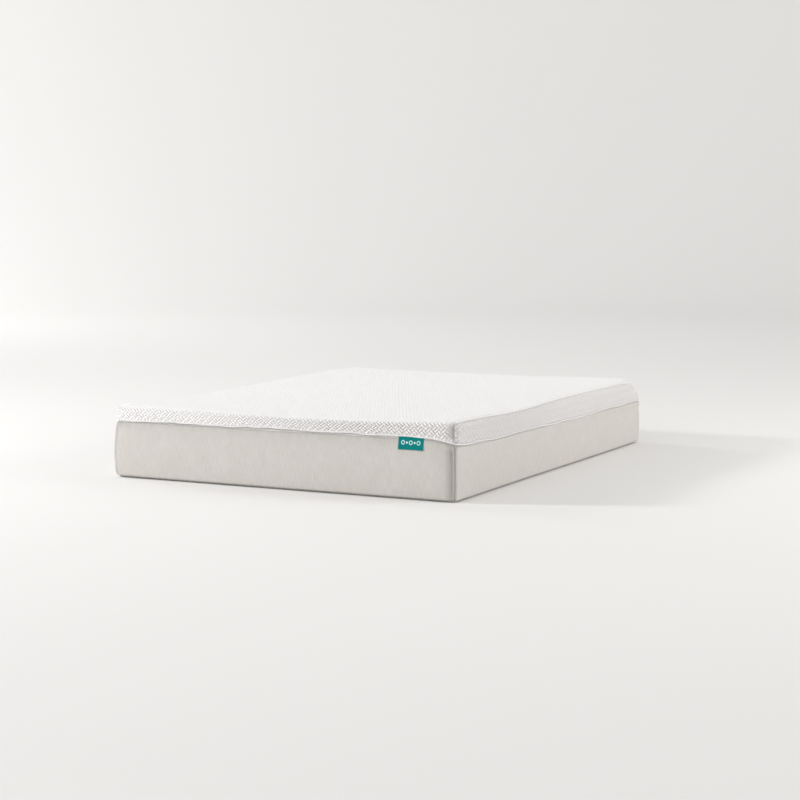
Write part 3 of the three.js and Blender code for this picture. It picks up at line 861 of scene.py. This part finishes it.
def stitch_mesh(name, centres, directions, outs, length, thick):
    """Many small thread lengths as one mesh: each is a bent six-sided bead lying on the cloth."""
    stations = np.array([-0.5, -0.3, 0.0, 0.3, 0.5])
    swell = np.array([0.25, 0.85, 1.0, 0.85, 0.25])
    lift = np.array([-0.5, 0.1, 0.35, 0.1, -0.5])
    sides = np.arange(6) * math.pi / 3
    around = len(sides)
    third = np.cross(directions, outs)
    third /= np.linalg.norm(third, axis=1, keepdims=True)
    body = centres[:, None, None, :] + directions[:, None, None, :] * (stations * length)[None, :, None, None]
    body = body + outs[:, None, None, :] * (lift * thick)[None, :, None, None]
    ring = np.cos(sides)[None, None, :, None] * outs[:, None, None, :]
    ring = ring + np.sin(sides)[None, None, :, None] * third[:, None, None, :]
    verts = body + ring * (swell * thick / 2)[None, :, None, None]
    count = len(stations) * around
    one = tube_faces(len(stations), around, False)[:, [0, 3, 2, 1]]
    faces = one[None] + (np.arange(len(centres)) * count)[:, None, None]
    uv = np.zeros((len(centres) * count, 2))
    uv[:, 0] = np.tile(np.repeat(stations * length, around), len(centres))
    return mesh_from(name, verts.reshape(-1, 3), faces.reshape(-1, 4), uv)


def build_hem_stitching():
    """A row of stitches along the hem lip, near its upper edge."""
    points, normals, along = outline(0.0046)
    direction = np.roll(points, -1, axis=0) - points
    direction /= np.linalg.norm(direction, axis=1, keepdims=True)
    centres = points + normals * 0.0014
    centres[:, 2] += LIP_HEIGHT - 0.0021
    mesh = stitch_mesh("hem_stitching", centres, direction, normals, 0.0034, 0.0007)
    piece = add_object("hem_stitching", mesh, THREAD)


# ---- lower cover

def hem_shade(below):
    """Darkening of the cloth under the hem, where the overhanging lip keeps light away."""
    return 0.13 * np.exp(-below / 0.028) + 0.12 * np.exp(-below / 0.004)


def dress_lower(points, normals, seam_distance, top_distance):
    """Adds belly, lumps, seams, hollows and gathers to the lower cover. Returns places and painted shade."""
    x, y, z = np.moveaxis(points, -1, 0)
    wall = 1 - np.abs(normals[..., 2])
    foot_side = np.abs(normals[..., 1]) > np.abs(normals[..., 0])
    level = np.clip(z / hem_height(x, y), 0, 1)
    belly = 0.0020 * np.sin(math.pi * level) * wall
    run = np.where(foot_side, x, y)
    lump = 0.0013 * wave(run, z, 31, 0.5) + 0.0006 * wave(run, z * 0.5, 32, 0.12, 2)
    seam = seam_valley(seam_distance, depth=0.0044, width=0.0032,
                       roll=0.0024, place=0.0065, spread=0.0030)
    pull = wall * corner_pull(x, y, foot_side, near_depth=0.0120, far_depth=0.0025,
                              place=HOLLOW_PLACE_LOWER, inner=0.0175)
    # painted shade in the corner hollows, kept right up to the hem
    shade = HOLLOW_SHADE_LOWER * pull
    pull = pull * (0.12 + 0.88 * smooth((top_distance - 0.010) / 0.024))
    near = foot_side & (x > 0) & (y < 0)
    crease = CREASE_DEPTH * near * bell(HALF_X - np.abs(x) - CREASE_PLACE, CREASE_WIDTH) * wall
    crease = crease * smooth((top_distance - 0.010) / 0.015) * smooth(z / 0.04)
    pull = pull + crease
    # painted shade towards the near foot corner
    near_shade = 0.09 * near * wall * np.exp((np.abs(x) - HALF_X) / 0.06)
    # painted shade in the crease beside the hollow
    shade = shade + 1.6 * HOLLOW_SHADE_LOWER * crease + near_shade
    # painted shade under the hem, where the lip keeps light away
    shade = shade + np.where(y < 0, 1.0, 0.3) * foot_side * wall * hem_shade(top_distance)
    turn = run * 2 * math.pi / GATHER_PITCH + 2 * wave(run, 0 * run, 33, 0.3)
    gather = GATHER_DEPTH * np.sin(turn) * bell(top_distance, 0.02)
    at_zip = (y > 0) * foot_side * bell(top_distance, ZIP_ZONE)
    calm = np.clip(seam_distance / 0.04, 0.1, 1) * (1 - 0.9 * at_zip)
    out = belly + (lump + gather) * calm - seam - pull - HEAD_CLEARANCE * at_zip
    return lean(bulge(points) + normals * out[..., None]), shade


def finer_at_ends(span, step):
    """Positions from -span to span, a fifth of the step apart within 50 mm of either end."""
    edge = np.arange(0, 0.05, step / 5)
    middle = np.linspace(-span + 0.05, span - 0.05, int(2 * (span - 0.05) / step))
    return np.concatenate([-span + edge, middle, (span - edge)[::-1]])


def build_lower_panel(name, end, side):
    """One wall of the lower cover: end is -1 or 1 for foot or head, side for left or right."""
    half = LOWER_X if end else LOWER_Y
    span = cloth_span(half, LOWER_RADIUS)
    s = finer_at_ends(span, 0.006)
    line = across(s, half, LOWER_RADIUS)
    x_line = line if end else np.full(line.shape, side * LOWER_X)
    y_line = np.full(line.shape, end * LOWER_Y) if end else line
    top = hem_height(x_line, y_line) - LOWER_EDGE_DROP + 0.002
    bend = LOWER_RADIUS * math.pi / 4
    length = top - LOWER_RADIUS + bend
    rows = np.linspace(0, 1, 40)
    t = rows[:, None] * length[None, :]
    z = from_seam(t, LOWER_RADIUS)
    x = np.repeat(x_line[None], len(rows), 0)
    y = np.repeat(y_line[None], len(rows), 0)
    radius = np.full(x.shape, LOWER_RADIUS)
    points, normals = soften(np.stack([x, y, z], axis=-1), LOWER_X, LOWER_Y, radius, low=0.0)
    grid_s = np.repeat(s[None], len(rows), 0)
    seam_distance = np.minimum(span - np.abs(grid_s), t + 0.002)
    top_distance = length[None, :] - t
    points, shade = dress_lower(points, normals, seam_distance, top_distance)
    points[..., 2] = np.maximum(points[..., 2], 0.0004)
    # painted shade along the seams, added to the painted shade from dress_lower
    looks = {"painted_shading": 1 - 0.28 * bell(seam_distance, 0.0032) - shade}
    uv = np.stack([grid_s + 3 * end + 7 * side, t], axis=-1)
    flip = (end > 0) or (side < 0)
    mesh = sheet_mesh(f"lower_cover_{name}", points, normals, uv, looks, flip=flip)
    piece = add_stand_in(f"lower_panel_{name}", mesh, LOWER_KNIT)


def build_base_cloth():
    span_x, span_y = cloth_span(LOWER_X, LOWER_RADIUS), cloth_span(LOWER_Y, LOWER_RADIUS)
    sx = np.linspace(-span_x, span_x, 150)
    sy = np.linspace(-span_y, span_y, 200)
    grid_x, grid_y = np.meshgrid(sx, sy, indexing="xy")
    x = across(grid_x, LOWER_X, LOWER_RADIUS)
    y = across(grid_y, LOWER_Y, LOWER_RADIUS)
    sharp = np.stack([x, y, np.zeros(x.shape)], axis=-1)
    points, normals = soften(sharp, LOWER_X, LOWER_Y, np.full(x.shape, LOWER_RADIUS), low=0.0)
    edge = np.minimum(span_x - np.abs(grid_x), span_y - np.abs(grid_y))
    points = lean(bulge(points)) - normals * (0.0026 * bell(edge, 0.004))[..., None]
    uv = np.stack([grid_x, grid_y], axis=-1)
    mesh = sheet_mesh("base_cloth", points, normals, uv, {})
    piece = add_stand_in("bottom_panel", mesh, BASE_CLOTH)


# ---- labels

def lower_face(x, z, out):
    """Depth of the lower cover's foot (out -1) or head (out 1) face at a place."""
    plane = np.stack(np.broadcast_arrays(x, out * LOWER_Y, z), axis=-1)
    facing = np.zeros(plane.shape)
    facing[..., 1] = out
    far_from_seams = np.full(plane.shape[:-1], 0.2)
    below_hem = hem_height(plane[..., 0], plane[..., 1]) - plane[..., 2]
    return dress_lower(plane, facing, far_from_seams, below_hem)[0][..., 1]


def label_surface(low, high, out, curl, seed, u, v):
    """Place on a label sewn in at its top edge, lying on the lower cover and free at its bottom.

    u runs across the label and v down it, from 0 to 1.
    """
    x = low.x + (high.x - low.x) * u
    z = high.z + LABEL_TUCK - (high.z + LABEL_TUCK - low.z) * v
    lift = 0.0009 + curl * v ** 2 * (0.5 + 0.5 * np.abs(2 * u - 1) ** 2)
    lift = lift + 0.0004 * (1 + wave(x, z, seed, 0.09, 2)) * v
    return np.stack([x, lower_face(x, z, out) + out * lift, z], axis=-1)


def label_mesh(name, low, high, out, curl, seed, mark):
    """A label with raised marks: mark gives their share of MARK_HEIGHT at u, v."""
    grid_s, grid_t = np.meshgrid(*[np.linspace(0, 1, count) for count in LABEL_GRID], indexing="xy")
    marks = mark(grid_s, grid_t, high.x - low.x, high.z - low.z)
    front = label_surface(low, high, out, curl, seed, grid_s, grid_t)
    front[..., 1] += out * MARK_HEIGHT * marks
    uv = np.stack([front[..., 0], front[..., 2]], axis=-1)
    normals = np.zeros(front.shape)
    normals[..., 1] = out
    return sheet_mesh(name, front, normals, uv, {"mark": marks}, turn_in=0.0007, flip=out < 0)


def label_stitching(name, low, high, out, curl, seed, inset=0.0026, pitch=0.0040):
    """Stitches along the label's border, through both cloths."""
    width, height = high.x - low.x, high.z - low.z
    nx = int(round((width - 2 * inset) / pitch))
    nz = int(round((height - 2 * inset) / pitch))
    along = inset + (np.arange(nx) + 0.5) * (width - 2 * inset) / nx
    down = inset + (np.arange(nz) + 0.5) * (height - 2 * inset) / nz
    s = np.concatenate([along, along, np.full(nz, inset), np.full(nz, width - inset)]) / width
    t = np.concatenate([np.full(nx, inset), np.full(nx, height - inset), down, down]) / height
    upright = np.repeat([0, 1], [2 * nx, 2 * nz])
    centres = label_surface(low, high, out, curl, seed, s, t)
    centres[:, 1] += out * 0.0002
    directions = np.zeros(centres.shape)
    directions[:, 0] = 1 - upright
    directions[:, 2] = upright
    outs = np.zeros(centres.shape)
    outs[:, 1] = out
    return stitch_mesh(name, centres, directions, outs, 0.0028, 0.00055)


def motif(u, v, width, height):
    """A plain row of rings and dots, with no lettering: 1 inside the marks, 0 outside."""
    inside = np.zeros(u.shape)
    for k in range(5):
        dx = (u - 0.19 - 0.155 * k) * width
        dz = (v - 0.44) * height
        away = np.sqrt(dx ** 2 + dz ** 2)
        if k % 2 == 0:
            edge = np.minimum(MOTIF_RING[0] - away, away - MOTIF_RING[1])
        else:
            edge = MOTIF_DOT - away
        inside = np.maximum(inside, smooth(edge / MOTIF_SOFT + 0.5))
    return inside


def rules(u, v, width, height):
    """Plain printed rules of uneven length in place of words: 1 on them, 0 between."""
    row = np.floor((v * height - RULE_TOP) / RULE_PITCH)
    within = (v * height - RULE_TOP) / RULE_PITCH - row
    length = 0.52 + 0.40 * np.abs(np.sin(2.3 * row + 0.7))
    on_row = smooth((0.17 - np.abs(within - 0.5)) / 0.05 + 0.5)
    start = RULE_MARGIN / width
    end = start + length * (1 - 2 * start)
    inside = (u > start) & (u < end)
    return on_row * inside * (row >= 0) * (v * height < height - RULE_BOTTOM)


def build_label(node, name, material, out, curl, seed, mark, thread):
    low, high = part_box(node)
    piece = add_stand_in(node, label_mesh(name, low, high, out, curl, seed, mark), material)
    stitching = label_stitching(f"{node}_stitching", low, high, out, curl, seed)
    add_object(stitching.name, stitching, thread)


def build_labels():
    build_label("brand_label", "brand_label_weave", TEAL_WEAVE, -1,
                BRAND_CURL, 41, motif, TEAL_THREAD)
    for node, seed in (("law_label", 51), ("care_label", 52)):
        build_label(node, f"{node}_cloth", LABEL_CLOTH, 1, CARE_CURL, seed, rules, THREAD)


# ---- inside the cover

def rounded_plan(u, v, half_x, half_y, radius):
    """Takes a square from -1 to 1 onto a rectangle with rounded corners."""
    x, y = u * half_x, v * half_y
    core_x = np.clip(x, -half_x + radius, half_x - radius)
    core_y = np.clip(y, -half_y + radius, half_y - radius)
    away = np.hypot(x - core_x, y - core_y)
    pull = np.where(away > radius, radius / np.maximum(away, 1e-9), 1)
    return core_x + (x - core_x) * pull, core_y + (y - core_y) * pull


def block_mesh(name, low, high, corner, top_edge, low_edge):
    """A closed foam slab: rounded corners in plan, softened edges, the top following the cover."""
    u, v = np.meshgrid(np.linspace(-1, 1, 61), np.linspace(-1, 1, 81), indexing="xy")
    rim_u = np.concatenate([u[0, :-1], u[:-1, -1], u[-1, :0:-1], u[:0:-1, 0]])
    rim_v = np.concatenate([v[0, :-1], v[:-1, -1], v[-1, :0:-1], v[:0:-1, 0]])
    turns = np.linspace(0, math.pi / 2, 7)
    dish_from = 0.21  # the dish above this height follows the cover's
    quarter = np.stack([1 - np.sin(turns), 1 - np.cos(turns)], axis=1)
    rings = [(top_edge * inset, high.z - top_edge * drop) for inset, drop in quarter]
    rings += [(0, z) for z in np.linspace(high.z - top_edge, low.z + low_edge, 8)[1:-1]]
    rings += [(low_edge * inset, low.z + low_edge * rise) for inset, rise in quarter[::-1]]

    def place(at_u, at_v, inset, z):
        x, y = rounded_plan(at_u, at_v, high.x - inset, high.y - inset, corner - inset)
        level = np.clip((z - dish_from) / (HEIGHT - dish_from), 0, 1)
        return np.stack([x, y, z - top_dip(x, y) * level ** 1.5], axis=-1)

    wall = np.stack([place(rim_u, rim_v, inset, z) for inset, z in rings])
    wall = np.concatenate([wall, wall[:, :1]], axis=1)
    mesh = bpy.data.meshes.new(name)
    work = bmesh.new()
    for grid in (place(u, v, top_edge, high.z), wall, place(u, v, low_edge, low.z)[::-1]):
        rows, columns = grid.shape[:2]
        made = [work.verts.new(point) for point in grid.reshape(-1, 3)]
        for quad in grid_faces(rows, columns):
            work.faces.new([made[k] for k in quad])
    bmesh.ops.remove_doubles(work, verts=work.verts, dist=1e-6)
    bmesh.ops.recalc_face_normals(work, faces=work.faces)
    work.to_mesh(mesh)
    work.free()
    mesh.shade_smooth()
    return mesh


CORE_PIECES = (
    # node, visual piece, slot, corner, top edge, low edge, colour, pores to the metre
    ("fire_sock", "fire_sock_knit", "sock_knit", 0.120, 0.060, 0.016, (0.86, 0.85, 0.80), 900),
    ("foam_comfort_layer", "comfort_foam_slab", "comfort_foam", 0.118, 0.055, 0.002, (0.76, 0.84, 0.88), 700),
    ("foam_transition_layer", "transition_foam_slab", "transition_foam", 0.116, 0.002, 0.002,
     (0.92, 0.90, 0.84), 550),
    ("foam_support_base", "support_foam_block", "support_foam", 0.116, 0.002, 0.016, (0.80, 0.79, 0.74), 450),
)


def build_core():
    """The foam layers and the sock around them, dished like the cover above."""
    for node, name, slot, corner, top_edge, low_edge, colour, pores in CORE_PIECES:
        low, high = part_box(node)
        mesh = block_mesh(name, low, high, corner, min(top_edge, 0.8 * (high.z - low.z)), low_edge)
        add_stand_in(node, mesh, make_foam(slot, colour, pores))


# ---- nodes of the frame that stay

def paint_frame():
    for name in ("zip_slider", "zip_pull", "zip_end_stop", "zip_start_stop"):
        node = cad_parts[name]
        node.data.materials.clear()
        node.data.materials.append(ENAMEL)


# ---- stage, light and camera

def build_floor():
    """A pale round floor whose edge curves up, so that the view ends softly on every side."""
    turns, level_rings, bowl_rings = 96, 10, 30
    level, bowl = 13.0, 7.0
    profile = [(level * k / level_rings, 0.0) for k in range(1, level_rings + 1)]
    profile += [(level + bowl * math.sin(a), bowl * (1 - math.cos(a)))
                for a in np.linspace(0, math.pi / 2, bowl_rings + 1)[1:]]
    angles = [2 * math.pi * k / turns for k in range(turns)]
    verts = [(0, 0, 0)] + [(r * math.cos(a), r * math.sin(a), z) for r, z in profile for a in angles]
    faces = [(0, 1 + k, 1 + (k + 1) % turns) for k in range(turns)]
    faces += (tube_faces(len(profile), turns, False) + 1).tolist()
    mesh = bpy.data.meshes.new("studio_floor")
    mesh.from_pydata(verts, [], faces)
    mesh.shade_smooth()
    mesh.materials.append(new_material("studio_floor", (0.84, 0.83, 0.82), 0.9))
    floor = bpy.data.objects.new("studio_floor", mesh)
    bpy.context.scene.collection.objects.link(floor)


LAMPS = (
    # name, place, target, width, power, colour
    ("key", (-6.2, -3.6, 3.1), (0, -0.6, 0.25), 1.0, 306, (1, 1, 1)),
    ("front_fill", (-1.0, -9.0, 3.0), (0, 0, 0.2), 4.0, 86, (1, 1, 1)),
    ("side_fill", (6.2, 1.2, 2.4), (0, 0.2, 0.2), 3.0, 146, (1.0, 0.985, 0.965)),
    ("backdrop_left", (-13.0, 3.0, 7.0), (-9.0, 11.0, 0.5), 5.0, 680, (1, 1, 1)),
    ("backdrop_right", (6.0, 8.0, 8.0), (0.0, 16.0, 1.0), 5.0, 70, (1, 1, 1)),
    ("backdrop_front", (0.0, -9.0, 8.0), (0.0, -18.0, 2.5), 6.0, 420, (1, 1, 1)),
    ("backdrop_side", (9.0, -1.0, 8.0), (18.0, -3.0, 2.5), 6.0, 420, (1, 1, 1)),
)


def add_area(name, place, target, size, power, colour):
    data = bpy.data.lights.new(name, "AREA")
    data.shape = "DISK"
    data.size = size
    data.energy = power
    data.color = colour
    lamp = bpy.data.objects.new(name, data)
    lamp.location = place
    lamp.visible_camera = False
    lamp.rotation_euler = (Vector(target) - Vector(place)).to_track_quat("-Z", "Y").to_euler()
    bpy.context.scene.collection.objects.link(lamp)


def build_light():
    world = bpy.data.worlds.new("studio")
    world.use_nodes = True
    background = world.node_tree.nodes["Background"]
    background.inputs["Color"].default_value = (1.0, 0.995, 0.985, 1)
    background.inputs["Strength"].default_value = 0.64
    bpy.context.scene.world = world
    for lamp in LAMPS:
        add_area(*lamp)
    bpy.context.scene.view_settings.view_transform = "Standard"


def build_camera():
    data = bpy.data.cameras.new("camera")
    data.lens = 78.14
    data.sensor_width = 36
    data.clip_end = 200
    camera = bpy.data.objects.new("camera", data)
    camera.location = (3.389, -6.766, 1.024)
    turn, dip = math.radians(26.43), math.radians(5.79)
    camera.rotation_euler = (math.pi / 2 - dip, 0, turn)
    bpy.context.scene.collection.objects.link(camera)
    bpy.context.scene.camera = camera


build_core()
build_top_panel()
for side in (-1, 1):
    build_side_band(side)
build_hem_lip()
build_hem_stitching()
build_chain()
for name, end, side in (("foot", -1, 0), ("head", 1, 0), ("left", 0, -1), ("right", 0, 1)):
    build_lower_panel(name, end, side)
build_base_cloth()
build_labels()
paint_frame()
build_floor()
build_light()
build_camera()
